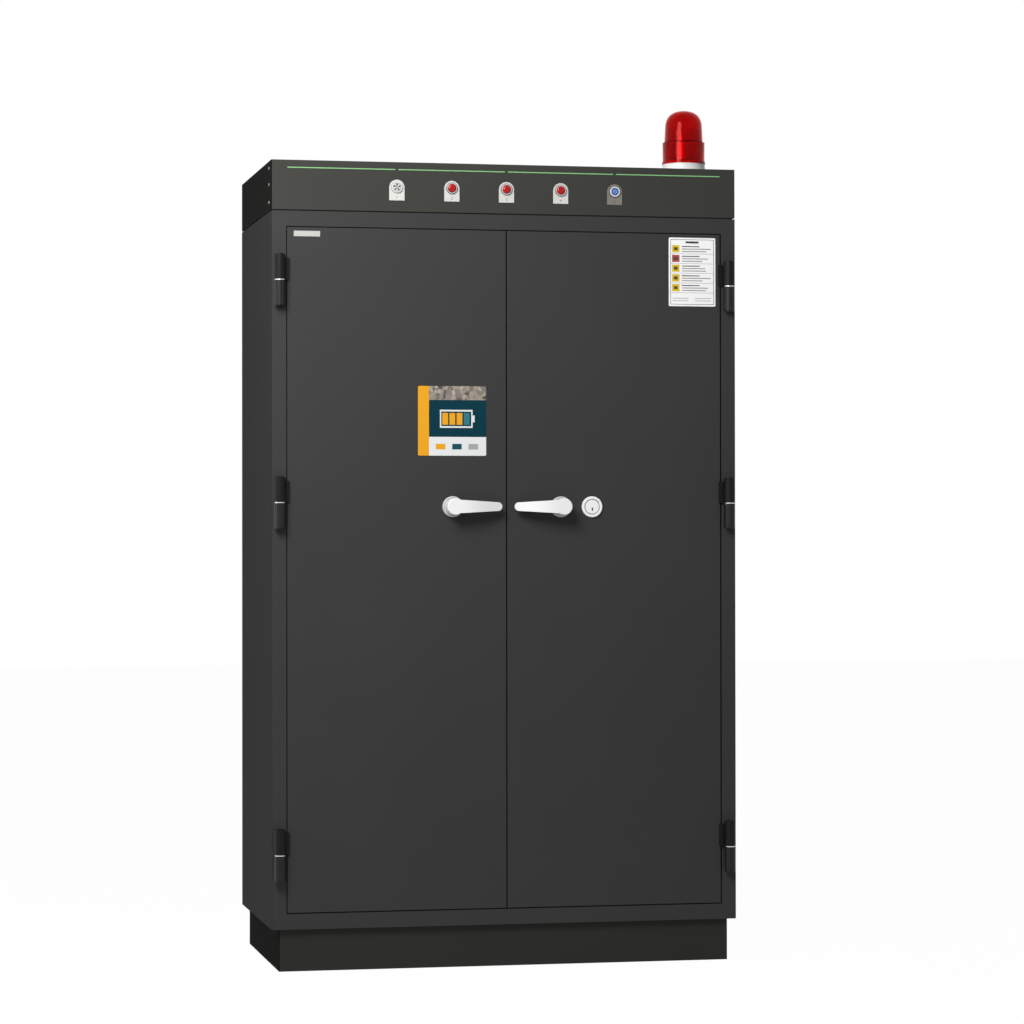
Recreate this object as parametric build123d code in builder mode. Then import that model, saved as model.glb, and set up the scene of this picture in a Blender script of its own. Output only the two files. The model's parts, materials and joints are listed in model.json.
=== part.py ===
"""Two-door insulated battery cabinet with a signal hood, in millimetres.

X runs to the right seen from the front, the doors face -Y, Z is up.
The origin lies on the floor under the middle of the carcass.
"""

import os
from math import pi, radians, sqrt, tan

from build123d import *

# ---- overall sizes ----
width = 1200.0
depth = 600.0
plinth_height = 106.0
body_height = 1798.0
hood_height = 128.0
wall = 60.0  # outer sheet, insulation and liner together
sheet = 2.0
seat_gap = 0.3  # left between pieces that pass or lean on each other

# ---- plinth ----
plinth_side_recess = 20.0
plinth_front_recess = 14.0
plinth_flange = 40.0
plinth_sheet = 3.0

# ---- door opening and face frame ----
stile = 38.0
rail_bottom = 40.0
rail_top = 39.0
frame_depth = 28.0  # front face to the back of the rebate
panel_flange = 20.0

# ---- doors ----
door_gap = 1.5  # to the frame, and half of the gap between the doors
door_lip = 20.0  # depth of the skin's folded edge
door_thickness = 60.0
pan_inset = 25.0  # from the skin's edge to the pan's wall
seal_width = 16.0
door_corner = 1.2
stiffener_width = 60.0

# ---- hinges ----
hinge_low_rise = 187.0  # lowest hinge, above the plinth
hinge_middle_rise = 1067.0
hinge_top_drop = 174.0  # top hinge, below the body's top
hinge_length = 127.0
hinge_radius = 14.0
hinge_inset = 19.0  # axis, from the cabinet's side
hinge_stand_off = 15.0  # axis, in front of the face
pin_radius = 6.0
pin_fit = 0.05
washer = 2.0
leaf_height = 54.0
leaf_thickness = 5.0
leaf_lap = 4.5  # how far the leaf's foot reaches onto the door
door_swing = 170.0

# ---- handles and bolt work ----
handle_x = 140.0
handle_z = 1163.5
rosette_radius = 26.5
rosette_thickness = 9.0
lever_hub_radius = 21.0
lever_reach = 123.5
lever_hub_front = 46.0
lever_hub_back = 12.0
lever_tip_front = 24.0
lever_root_height = 35.0
lever_tip_height = 22.0
spindle = 8.0
gear_module = 2.0
gear_teeth = 12
gear_width = 8.0
tooth_width = 2.6  # at the pitch line, of the gear and of the rack
rod_width = 9.0
rod_thickness = 6.0
rod_clearance = 0.3  # in the door's guides
keeper_clearance = 1.0
rod_centre_depth = 11.0  # behind the door's front face
case_half_width = 30.0
case_half_height = 60.0
throw = 90.0
keeper_height = 12.0

# ---- lock ----
lock_x = 221.4
lock_radius = 26.7
lock_face_radius = 17.5
lock_barrel_radius = 14.0
plug_radius = 5.0
plug_fit = 0.05
plug_drop = 6.0

# ---- inside ----
shelf_rises = (304.0, 634.0, 964.0, 1294.0)  # above the inner floor
shelf_height = 25.0
shelf_slot_length = 60.0
upright_width = 25.0
upright_depth = 12.0
socket_height = 50.0
socket_depth = 42.0

# ---- hood ----
seam = 3.0
strip_length = 274.0
strip_height = 5.0
strip_gap = 8.0
strip_drop = 19.0  # below the hood's top
device_pitch = 141.0
device_drop = 63.6
device_hole_radius = 11.25
bezel_radius = 14.5
plate_width = 39.0
plate_height = 52.3
plate_top_drop = 44.5
plate_sheet = 1.0
cap_radius = 9.8
button_travel = 2.0
hood_screw_inset = 38.0  # behind the hood's front
screw_radius = 1.9
hood_screw_rises = (20.0, 65.0, 106.0)  # above the hood's lower edge
gland_x = -480.0
gland_radius = 10.0
gland_bore = 6.0

# ---- beacon ----
beacon_x = 504.0
beacon_y = -150.0
beacon_base_height = 33.0
collar_radius = 55.0
collar_height = 53.0
dome_radius = 49.3
beacon_height = 168.0
lens_wall = 2.5
lamp_radius = 11.0

# ---- worked out from the sizes above ----
half_w = width / 2
front = -depth / 2
back = depth / 2
body_top = plinth_height + body_height
hood_top = body_top + hood_height
hood_base = body_top + seam
open_w = half_w - stile
open_low = plinth_height + rail_bottom
open_high = body_top - rail_top
inner_w = half_w - wall
inner_low = plinth_height + wall
inner_high = body_top - wall
shelf_levels = [inner_low + rise for rise in shelf_rises]
hinge_heights = (plinth_height + hinge_low_rise, plinth_height + hinge_middle_rise, body_top - hinge_top_drop)
strip_z = hood_top - strip_drop
device_z = hood_top - device_drop
plate_top_z = hood_top - plate_top_drop
hood_screw_y = front + hood_screw_inset
hood_screw_levels = [hood_base + rise for rise in hood_screw_rises]
inner_back = back - wall
rebate_y = front + frame_depth
door_outer = open_w - door_gap
door_low = open_low + door_gap
door_high = open_high - door_gap
lip_y = front + door_lip
pan_back_y = front + door_thickness
hinge_x = half_w - hinge_inset
hinge_y = front - hinge_stand_off
rod_y = front + rod_centre_depth
spindle_hole = spindle / sqrt(2) + seat_gap
pitch_radius = gear_module * gear_teeth / 2
rod_travel = pitch_radius * radians(throw)
tooth_pitch = pi * gear_module
addendum = gear_module
dedendum = 1.2 * gear_module
rod_offset = pitch_radius + dedendum + rod_width / 2
plug_z = handle_z - plug_drop
device_xs = [device_pitch * (i - 2) for i in range(5)]


def box(x0, x1, y0, y1, z0, z1, mode=Mode.ADD):
    """A block between two corners, added to the part being built."""
    with BuildSketch(Plane.XY.offset(z0)) as outline:
        with Locations(((x0 + x1) / 2, (y0 + y1) / 2)):
            Rectangle(abs(x1 - x0), abs(y1 - y0))
    extrude(outline.sketch, amount=z1 - z0, mode=mode)


def disc(x, z, radius, y0, y1, mode=Mode.ADD, taper=0):
    """A round plug along Y, between two depths."""
    with BuildSketch(Plane.XZ.offset(-y1)) as outline:
        with Locations((x, z)):
            Circle(radius)
    extrude(outline.sketch, amount=y1 - y0, mode=mode, taper=taper)


def keep(block, name):
    """Labels a finished piece and writes it."""
    block.part.label = name
    export_step(block.part, f"parts/{name}.step")


def export_group(solids, name):
    """Writes several separate solids as one piece group."""
    group = Compound(children=list(solids))
    group.label = name
    export_step(group, f"parts/{name}.step")


os.makedirs("parts", exist_ok=True)

# ================= plinth: four folded rails =================
plinth_w = half_w - plinth_side_recess
plinth_y0 = front + plinth_front_recess
rails = []
low, high = plinth_sheet, plinth_height - plinth_sheet
for y0, y1, skin_y0, skin_y1 in (
    (plinth_y0, plinth_y0 + plinth_flange, plinth_sheet, 0),
    (back - plinth_flange, back, 0, plinth_sheet),
):
    with BuildPart() as rail:
        box(-plinth_w, plinth_w, y0, y1, 0, plinth_height)
        end = plinth_w - plinth_sheet
        box(-end, end, y0 + skin_y0, y1 - skin_y1, low, high, mode=Mode.SUBTRACT)
    rails += rail.part.solids()
for side in (-1, 1):
    with BuildPart() as rail:
        y0, y1 = plinth_y0 + plinth_flange, back - plinth_flange
        box(side * plinth_w, side * (plinth_w - plinth_flange), y0, y1, 0, plinth_height)
        x0, x1 = side * (plinth_w - plinth_sheet), side * (plinth_w - plinth_flange)
        box(x0, x1, y0, y1, low, high, mode=Mode.SUBTRACT)
    rails += rail.part.solids()
export_group(rails, "plinth")

# ================= outer sheets =================
for side, name in ((-1, "side_panel_left"), (1, "side_panel_right")):
    with BuildPart() as side_panel:
        x0, x1 = side * half_w, side * (half_w - sheet)
        box(x0, x1, front + sheet, back, plinth_height, body_top)
        flange_x = side * (half_w - panel_flange)
        z0, z1 = plinth_height + sheet, body_top - sheet
        box(x1, flange_x, front + sheet, front + 2 * sheet, z0, z1)
        box(x1, flange_x, back - sheet, back, z0, z1)
    keep(side_panel, name)

with BuildPart() as back_panel:
    skin_w = half_w - sheet
    box(-skin_w, skin_w, back - 2 * sheet, back - sheet, plinth_height + sheet, body_top - sheet)
keep(back_panel, "back_panel")

for name, z0 in (("floor_panel", plinth_height), ("roof_panel", body_top - sheet)):
    with BuildPart() as deck:
        box(-skin_w, skin_w, front + sheet, back, z0, z0 + sheet)
        if name == "roof_panel":
            with Locations(Plane((beacon_x - 90, beacon_y, body_top))):
                Hole(device_hole_radius)
    keep(deck, name)

# ================= insulation boards and liner plates =================
board_front = rebate_y + 2 * sheet + seat_gap
board_back = back - 2 * sheet
board_low = plinth_height + sheet
board_high = body_top - sheet
with BuildPart() as wall_insulation:
    for side in (-1, 1):
        x0, x1 = side * (half_w - sheet - seat_gap), side * (inner_w + sheet)
        box(x0, x1, board_front, board_back, board_low, board_high)
    between = inner_w + sheet - seat_gap
    box(-between, between, inner_back + sheet, board_back, board_low, board_high)
    tray = inner_back + sheet - seat_gap
    box(-between, between, board_front, tray, board_low, inner_low - sheet)
    box(-between, between, board_front, tray, inner_high + sheet, board_high)
keep(wall_insulation, "wall_insulation")

liner_low, liner_high = inner_low - sheet, inner_high + sheet
liner_front = rebate_y + sheet
plates = []
for side in (-1, 1):
    with BuildPart() as plate:
        x0, x1 = side * inner_w, side * (inner_w + sheet)
        box(x0, x1, liner_front, inner_back + sheet, liner_low, liner_high)
    plates += plate.part.solids()
with BuildPart() as plate:
    box(-inner_w, inner_w, inner_back, inner_back + sheet, inner_low, inner_high)
plates += plate.part.solids()
for z0 in (liner_low, inner_high):
    with BuildPart() as plate:
        box(-inner_w, inner_w, liner_front, inner_back + sheet, z0, z0 + sheet)
    plates += plate.part.solids()
export_group(plates, "inner_liner")

# ================= face frame: front ring, rebate and its return, cut into four members =================
return_w = open_w + sheet
frame_holes = [
    (side * (handle_x + rod_offset), open_high) for side in (-1, 1)
] + [(side * (handle_x - rod_offset), open_low - sheet) for side in (-1, 1)]


def ring(outer_w, outer_low, outer_high, inner_half, low, high, y0, y1):
    """A flat rectangular ring in the plane of the front."""
    box(-outer_w, outer_w, y0, y1, outer_low, outer_high)
    box(-inner_half, inner_half, y0, y1, low, high, mode=Mode.SUBTRACT)


with BuildPart() as front_ring:
    ring(half_w, plinth_height, body_top, open_w, open_low, open_high, front, front + sheet)
with BuildPart() as return_ring:
    outer = (return_w, open_low - sheet, open_high + sheet)
    ring(*outer, open_w, open_low, open_high, front + sheet, rebate_y)
with BuildPart() as rebate_ring:
    ring(*outer, inner_w, inner_low, inner_high, rebate_y, rebate_y + sheet)
with BuildPart() as whole_frame:
    add(front_ring.part)
    add(return_ring.part)
    add(rebate_ring.part)
    for x, z in frame_holes:
        hole_x = rod_width / 2 + keeper_clearance
        hole_y = rod_thickness / 2 + keeper_clearance
        box(x - hole_x, x + hole_x, rod_y - hole_y, rod_y + hole_y, z, z + sheet, mode=Mode.SUBTRACT)

members = []
spans = ((-half_w, -inner_w, 0, hood_top), (inner_w, half_w, 0, hood_top))
spans += ((-inner_w, inner_w, 0, inner_low), (-inner_w, inner_w, inner_high, hood_top))
for x0, x1, z0, z1 in spans:
    with BuildPart() as member:
        box(x0, x1, front, rebate_y + sheet, z0, z1)
        add(whole_frame.part, mode=Mode.INTERSECT)
    members += member.part.solids()
export_group(members, "face_frame")

# ================= shelves on slotted uprights =================
shelf_x = inner_w - upright_depth - seat_gap
shelf_y0 = pan_back_y + 12
shelf_y1 = inner_back - 4
upright_ys = (shelf_y0 + 40, shelf_y1 - 40)
upright_low, upright_high = inner_low, inner_high - 60
uprights = []
for side in (-1, 1):
    for y in upright_ys:
        with BuildPart() as upright:
            y0, y1 = y - upright_width / 2, y + upright_width / 2
            box(side * inner_w, side * (inner_w - upright_depth), y0, y1, upright_low, upright_high)
            x0, x1 = side * (inner_w - sheet), side * (inner_w - upright_depth)
            box(x0, x1, y0 + sheet, y1 - sheet, upright_low, upright_high, mode=Mode.SUBTRACT)
        uprights += upright.part.solids()
export_group(uprights, "shelf_uprights")

clip_drop, clip_width = 12.0, 10.0
shelves, clips = [], []
for level in shelf_levels:
    with BuildPart() as shelf:
        box(-shelf_x, shelf_x, shelf_y0, shelf_y1, level - shelf_height, level)
        inner_x = shelf_x - sheet
        y0, y1 = shelf_y0 + sheet, shelf_y1 - sheet
        box(-inner_x, inner_x, y0, y1, level - shelf_height, level - sheet, mode=Mode.SUBTRACT)
        with BuildSketch(Plane.XY.offset(level)) as slots:
            with GridLocations(shelf_slot_length * 1.6, 110, 9, 3):
                Rectangle(shelf_slot_length, 8)
        extrude(slots.sketch, amount=-sheet, mode=Mode.SUBTRACT)
    shelves += shelf.part.solids()
    for side in (-1, 1):
        for y in upright_ys:
            with BuildPart() as clip:
                z1 = level - shelf_height
                y0, y1 = y - clip_width, y + clip_width
                reach = inner_w - upright_depth
                box(side * reach, side * (reach - 20), y0, y1, z1 - sheet, z1)
                box(side * reach, side * (reach - sheet), y0, y1, z1 - clip_drop, z1 - sheet)
            clips += clip.part.solids()
export_group(shelves, "shelves")
export_group(clips, "shelf_clips")

# charging rails on the back wall, one above each shelf and one above the floor
rail_x = shelf_x - 120
socket_rails = []
for level in (inner_low + 30, *shelf_levels):
    if level + shelf_height + socket_height < inner_high - 100:
        with BuildPart() as socket_rail:
            z0 = level + 90
            y0 = inner_back - socket_depth
            box(-rail_x, rail_x, y0, inner_back, z0, z0 + socket_height)
            with BuildSketch(Plane.XZ.offset(-y0)) as sockets:
                with Locations((0, z0 + socket_height / 2)):
                    with GridLocations(2 * rail_x / 6, 0, 6, 1):
                        Circle(19)
            extrude(sockets.sketch, amount=-16, mode=Mode.SUBTRACT)
        socket_rails += socket_rail.part.solids()
export_group(socket_rails, "socket_rails")

with BuildPart() as smoke_detector:
    with BuildSketch(Plane.XZ) as outline:
        with BuildLine():
            Polyline((0, inner_high), (50, inner_high), (50, inner_high - 12), (38, inner_high - 34))
            Polyline((38, inner_high - 34), (18, inner_high - 40), (0, inner_high - 40), (0, inner_high))
        make_face()
    revolve(outline.sketch, axis=Axis.Z)
keep(smoke_detector, "smoke_detector")

# ================= bolt keepers behind the frame's returns =================
keepers = []
for x, z in frame_holes:
    up = z > handle_z
    with BuildPart() as keeper:
        z0 = z + sheet if up else z - keeper_height
        y0, y1 = front + sheet, rebate_y
        box(x - 18, x + 18, y0, y1, z0, z0 + keeper_height)
        hole_x = rod_width / 2 + keeper_clearance
        hole_y = rod_thickness / 2 + keeper_clearance
        box(x - hole_x, x + hole_x, rod_y - hole_y, rod_y + hole_y, z0, z0 + keeper_height, Mode.SUBTRACT)
    keepers += keeper.part.solids()
export_group(keepers, "bolt_keepers")

# ================= hinges =================
half_hinge = hinge_length / 2
cap_chamfer = 4.0


def knuckle(x, z0, z1, bore, chamfer_top):
    """A hinge barrel with a bevelled outer end and a bore from its inner end."""
    cylinder_plane = Plane.XY.offset(z0)
    with BuildSketch(cylinder_plane) as outline:
        with Locations((x, hinge_y)):
            Circle(hinge_radius)
    extrude(outline.sketch, amount=z1 - z0)
    with BuildSketch(Plane.XY.offset(z1 if chamfer_top else z0)) as end:
        with Locations((x, hinge_y)):
            Circle(hinge_radius - cap_chamfer)
    extrude(end.sketch, amount=2 if chamfer_top else -2)
    with BuildSketch(Plane.XY.offset(z0 if chamfer_top else z1)) as hole:
        with Locations((x, hinge_y)):
            Circle(bore)
    deep = half_hinge - 12
    extrude(hole.sketch, amount=deep if chamfer_top else -deep, mode=Mode.SUBTRACT)


lower_halves, pins, washers = [], [], []
leaves = {-1: [], 1: []}
for side in (-1, 1):
    axis_x = side * hinge_x
    for split_z in hinge_heights:
        with BuildPart() as lower_half:
            z0, z1 = split_z - half_hinge, split_z - washer / 2
            knuckle(axis_x, z0, z1, pin_radius + pin_fit, False)
            box(axis_x - 7, axis_x + 7, hinge_y + hinge_radius - 2, front, z0 + 8, z1 - 6)
        lower_halves += lower_half.part.solids()
        with BuildPart() as pin:
            with BuildSketch(Plane.XY.offset(split_z - half_hinge + 13)) as outline:
                with Locations((axis_x, hinge_y)):
                    Circle(pin_radius)
            extrude(outline.sketch, amount=hinge_length - 26)
        pins += pin.part.solids()
        with BuildPart() as ring_washer:
            with BuildSketch(Plane.XY.offset(split_z - washer / 2)) as outline:
                with Locations((axis_x, hinge_y)):
                    Circle(hinge_radius - 0.5)
                    Circle(pin_radius + 2 * pin_fit, mode=Mode.SUBTRACT)
            extrude(outline.sketch, amount=washer)
        washers += ring_washer.part.solids()
        with BuildPart() as leaf:
            z0, z1 = split_z + washer / 2 + 0.1, split_z + half_hinge
            y1 = front - 1.0
            foot_x = side * (door_outer - leaf_lap)
            box(axis_x, foot_x, y1 - leaf_thickness, y1, z0, z0 + leaf_height)
            box(side * (door_outer - 0.5), foot_x, y1, front, z0, z0 + leaf_height)
            knuckle(axis_x, z0, z1, pin_radius + pin_fit, True)
        leaves[side] += leaf.part.solids()
export_group(lower_halves, "hinge_lower_halves")
export_group(pins, "hinge_pins")
export_group(washers, "hinge_washers")

# ================= doors =================
for side, hand in ((-1, "left"), (1, "right")):
    export_group(leaves[side], f"hinge_leaves_{hand}")
    edge_in, edge_out = side * door_gap, side * door_outer
    centre_x = side * handle_x
    out_rod = side * (handle_x + rod_offset)  # the bolt that rises
    in_rod = side * (handle_x - rod_offset)  # the bolt that drops
    with BuildPart() as door_skin:
        box(edge_in, edge_out, front, lip_y, door_low, door_high)
        fillet(door_skin.faces().sort_by(Axis.Y)[0].edges(), door_corner)
        inner = (edge_in + side * sheet, edge_out - side * sheet, front + sheet, lip_y)
        box(*inner, door_low + sheet, door_high - sheet, mode=Mode.SUBTRACT)
        disc(centre_x, handle_z, rosette_radius - 12, front, front + sheet, mode=Mode.SUBTRACT)
        if side > 0:
            barrel_hole = lock_barrel_radius + seat_gap
            disc(lock_x, handle_z, barrel_hole, front, front + sheet, mode=Mode.SUBTRACT)
        hole_x = rod_width / 2 + rod_clearance
        hole_y = rod_thickness / 2 + rod_clearance
        for x, z in ((out_rod, door_high - sheet), (in_rod, door_low)):
            y0, y1 = rod_y - hole_y, rod_y + hole_y
            box(x - hole_x, x + hole_x, y0, y1, z, z + sheet, mode=Mode.SUBTRACT)
    keep(door_skin, f"door_skin_{hand}")

    pan_in, pan_out = edge_in + side * pan_inset, edge_out - side * pan_inset
    pan_low, pan_high = door_low + pan_inset, door_high - pan_inset
    with BuildPart() as door_pan:
        box(edge_in, edge_out, lip_y, lip_y + sheet, door_low, door_high)
        box(pan_in, pan_out, lip_y, pan_back_y, pan_low, pan_high)
        hollow = (pan_in + side * sheet, pan_out - side * sheet, lip_y, pan_back_y - sheet)
        box(*hollow, pan_low + sheet, pan_high - sheet, mode=Mode.SUBTRACT)
    keep(door_pan, f"door_pan_{hand}")

    with BuildPart() as door_core:
        gap = side * seat_gap
        deep = (hollow[0] + gap, hollow[1] - gap, lip_y + seat_gap, pan_back_y - sheet)
        box(*deep, pan_low + sheet + seat_gap, pan_high - sheet - seat_gap)
    keep(door_core, f"door_core_{hand}")

    with BuildPart() as door_seal:
        seal_edge = (pan_inset - seal_width) / 2
        x0, x1 = edge_in + side * seal_edge, edge_out - side * seal_edge
        y0, y1 = lip_y + sheet, rebate_y - seat_gap
        box(x0, x1, y0, y1, door_low + seal_edge, door_high - seal_edge)
        x0, x1 = x0 + side * seal_width, x1 - side * seal_width
        z0, z1 = door_low + seal_edge + seal_width, door_high - seal_edge - seal_width
        box(x0, x1, y0, y1, z0, z1, mode=Mode.SUBTRACT)
    keep(door_seal, f"door_seal_{hand}")

    with BuildPart() as rosette:
        y0 = front - rosette_thickness
        disc(centre_x, handle_z, rosette_radius, y0, front)
        fillet(rosette.faces().sort_by(Axis.Y)[0].edges(), 3)
        disc(centre_x, handle_z, spindle_hole, y0, front, mode=Mode.SUBTRACT)
    keep(rosette, f"rosette_{hand}")

    with BuildPart() as latch_case:
        half, tall = case_half_width, case_half_height
        y0, y1 = front + sheet, lip_y
        box(centre_x - half, centre_x + half, y0, y1, handle_z - tall, handle_z + tall)
        inner = (centre_x - half + sheet, centre_x + half - sheet, y0 + sheet, y1 - sheet)
        box(*inner, handle_z - tall + sheet, handle_z + tall - sheet, mode=Mode.SUBTRACT)
        disc(centre_x, handle_z, spindle_hole, y0, y0 + sheet, mode=Mode.SUBTRACT)
        disc(centre_x, handle_z, spindle_hole, y1 - sheet, y1, mode=Mode.SUBTRACT)
        for x, z in ((out_rod, handle_z + tall - sheet), (in_rod, handle_z - tall)):
            y0, y1 = rod_y - hole_y, rod_y + hole_y
            box(x - hole_x, x + hole_x, y0, y1, z, z + sheet, mode=Mode.SUBTRACT)
    keep(latch_case, f"latch_case_{hand}")

    # lever: a hub with an arm that narrows towards the middle of the cabinet and dips to the door
    inward = -side
    tip_radius = lever_tip_height / 2
    tip_x = centre_x + inward * (lever_reach - tip_radius)
    with BuildPart() as lever:
        hub_y0, hub_y1 = front - lever_hub_front, front - lever_hub_back
        root = lever_root_height / 2
        with BuildSketch(Plane.XZ.offset(-hub_y1)) as outline:
            with BuildLine():
                Polyline((centre_x, handle_z + root), (tip_x, handle_z + tip_radius))
                arc_end = (tip_x, handle_z - tip_radius)
                tip = (tip_x + inward * tip_radius, handle_z)
                ThreePointArc((tip_x, handle_z + tip_radius), tip, arc_end)
                Polyline(arc_end, (centre_x, handle_z - root), (centre_x, handle_z + root))
            make_face()
        extrude(outline.sketch, amount=hub_y1 - hub_y0)
        far_x = tip_x + inward * tip_radius
        tip_y = front - lever_tip_front
        with BuildSketch(Plane.XY.offset(handle_z - lever_root_height)) as side_view:
            with BuildLine():
                Polyline((centre_x, hub_y0), (centre_x + inward * 20, hub_y0))
                start, start_dir = (centre_x + inward * 20, hub_y0), (inward, 0)
                Spline(start, (far_x, tip_y), tangents=(start_dir, (inward * 4, 1)))
                Polyline((far_x, tip_y), (far_x, tip_y + 8))
                Spline(
                    (far_x, tip_y + 8),
                    (centre_x + inward * 20, hub_y0 + 16),
                    tangents=((-inward * 4, -1), (-inward, 0)),
                )
                Polyline((centre_x + inward * 20, hub_y0 + 16), (centre_x, hub_y0 + 16), (centre_x, hub_y0))
            make_face()
        extrude(side_view.sketch, amount=2 * lever_root_height, mode=Mode.INTERSECT)
        disc(centre_x, handle_z, lever_hub_radius, hub_y0, hub_y1)
        front_edges = lever.edges().filter_by(lambda e: e.center().Y < tip_y + 3)
        fillet(front_edges.filter_by(GeomType.CIRCLE).sort_by(Axis.Y)[0], 2)
        disc(centre_x, handle_z, spindle_hole, hub_y0 + 8, hub_y1, mode=Mode.SUBTRACT)
    keep(lever, f"lever_{hand}")

    # pinion on a square spindle: flanks are straight, set by the tooth's width at the pitch line
    tip_r, root_r = pitch_radius + addendum, pitch_radius - dedendum
    slope = tan(radians(20))
    with BuildPart() as pinion:
        y0, y1 = rod_y - gear_width / 2, rod_y + gear_width / 2
        disc(centre_x, handle_z, root_r, y0, y1)
        with BuildSketch(Plane.XZ.offset(-y1)) as teeth:
            with Locations((centre_x, handle_z)):
                with PolarLocations(0, gear_teeth):
                    tip_w = tooth_width / 2 - addendum * slope
                    foot_w = tooth_width / 2 + dedendum * slope * 0.5
                    foot_r = root_r - 0.6
                    Polygon((foot_r, -foot_w), (tip_r, -tip_w), (tip_r, tip_w), (foot_r, foot_w), align=None)
        extrude(teeth.sketch, amount=y1 - y0)
        shaft_y0 = hub_y0 + 9
        shaft_y1 = lip_y - sheet + 1
        half_s = spindle / 2
        box(centre_x - half_s, centre_x + half_s, shaft_y0, shaft_y1, handle_z - half_s, handle_z + half_s)
    keep(pinion, f"pinion_shaft_{hand}")

    # rods: a flat bar each, toothed where it passes the pinion
    for name, x, toward, z0, z1, way in (
        ("top", out_rod, -side, handle_z - 30, door_high - 1, 1),
        ("bottom", in_rod, side, door_low + 1, handle_z + 30, -1),
    ):
        with BuildPart() as rod:
            half_r = rod_width / 2
            y0, y1 = rod_y - rod_thickness / 2, rod_y + rod_thickness / 2
            box(x - half_r, x + half_r, y0, y1, z0, z1)
            with BuildSketch(Plane.XZ.offset(-y1)) as teeth:
                for i in range(-5, 3):
                    z = handle_z + way * (i + 0.5) * tooth_pitch
                    if abs(z - handle_z) < 30:
                        base_x = x + toward * (half_r - 0.5)
                        tip_x0 = x + toward * (half_r + addendum + dedendum - 0.4)
                        base_w = tooth_width / 2 + dedendum * slope
                        tip_w = tooth_width / 2 - addendum * slope
                        corners = ((base_x, z - base_w), (tip_x0, z - tip_w), (tip_x0, z + tip_w))
                        Polygon(*corners, (base_x, z + base_w), align=None)
            extrude(teeth.sketch, amount=y1 - y0)
        keep(rod, f"rod_{name}_{hand}")

# ================= lock in the right door =================
lock_front = front - 6.0
with BuildPart() as lock_body:
    disc(lock_x, handle_z, lock_radius, lock_front, front)
    fillet(lock_body.faces().sort_by(Axis.Y)[0].edges(), 2)
    disc(lock_x, handle_z, lock_face_radius + 3, lock_front, lock_front + 2, mode=Mode.SUBTRACT)
    disc(lock_x, handle_z, lock_face_radius, lock_front + 0.5, lock_front + 2)
    disc(lock_x, handle_z, lock_barrel_radius, front, lip_y - 4)
    disc(lock_x, plug_z, plug_radius, lock_front, lip_y - 4, mode=Mode.SUBTRACT)
keep(lock_body, "lock_body")

with BuildPart() as lock_plug:
    disc(lock_x, plug_z, plug_radius - plug_fit, lock_front + 0.3, lip_y - 3.7)
    box(lock_x - 0.8, lock_x + 0.8, lock_front, lock_front + 6, plug_z - 3, plug_z + 3, Mode.SUBTRACT)
    box(lock_x - 4, lock_x + 4, lip_y - 3.7, lip_y - 1.7, plug_z - 22, plug_z + 5)
keep(lock_plug, "lock_plug")

# ================= hood =================
hood_inner_w = half_w - sheet
with BuildPart() as hood_gasket:
    rim = half_w - 5
    box(-rim, rim, front + 5, back - 5, body_top, hood_base)
    box(-rim + 18, rim - 18, front + 23, back - 23, body_top, hood_base, mode=Mode.SUBTRACT)
keep(hood_gasket, "hood_gasket")

strip_xs = [(strip_length + strip_gap) * (i - 1.5) for i in range(4)]
with BuildPart() as hood_cover:
    box(-half_w, half_w, front, back, hood_base, hood_top)
    fillet(hood_cover.faces().sort_by(Axis.Y)[0].edges(), door_corner)
    inside = (front + sheet, back - sheet, hood_base + sheet, hood_top - sheet)
    box(-hood_inner_w, hood_inner_w, *inside, mode=Mode.SUBTRACT)
    flange = half_w - 30
    box(-flange, flange, front + 30, back - 30, hood_base, hood_base + sheet, mode=Mode.SUBTRACT)
    for x in device_xs:
        disc(x, device_z, device_hole_radius, front, front + sheet, mode=Mode.SUBTRACT)
    for x in strip_xs:
        half_l, half_h = strip_length / 2, strip_height / 2
        spot = (x - half_l, x + half_l, front, front + sheet, strip_z - half_h, strip_z + half_h)
        box(*spot, mode=Mode.SUBTRACT)
    disc(gland_x, device_z, gland_radius + seat_gap, back - sheet, back, mode=Mode.SUBTRACT)
    with Locations(Plane((beacon_x, beacon_y, hood_top))):
        Hole(lamp_radius, depth=sheet)
    for side in (-1, 1):
        with BuildSketch(Plane.YZ.offset(side * half_w)) as screw_holes:
            with Locations(*[(hood_screw_y, z) for z in hood_screw_levels]):
                Circle(screw_radius + 0.1)
        extrude(screw_holes.sketch, amount=-side * sheet, mode=Mode.SUBTRACT)
keep(hood_cover, "hood_cover")

screws, strips, plates, nuts = [], [], [], []
for side in (-1, 1):
    for z in hood_screw_levels:
        with BuildPart() as screw:
            for radius, x0, x1 in ((4.5, half_w, half_w + 2), (screw_radius, half_w - 10, half_w)):
                with BuildSketch(Plane.YZ.offset(side * x0)) as outline:
                    with Locations((hood_screw_y, z)):
                        Circle(radius)
                extrude(outline.sketch, amount=side * (x1 - x0))
        screws += screw.part.solids()
export_group(screws, "hood_screws")

for x in strip_xs:
    with BuildPart() as strip:
        half_l, half_h = strip_length / 2 - 0.2, strip_height / 2 - 0.2
        box(x - half_l, x + half_l, front - 1, front + sheet, strip_z - half_h, strip_z + half_h)
        half_h = strip_height / 2 + 3
        box(x - half_l, x + half_l, front + sheet, front + 3 * sheet, strip_z - half_h, strip_z + half_h)
    strips += strip.part.solids()
export_group(strips, "light_strips")

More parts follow.
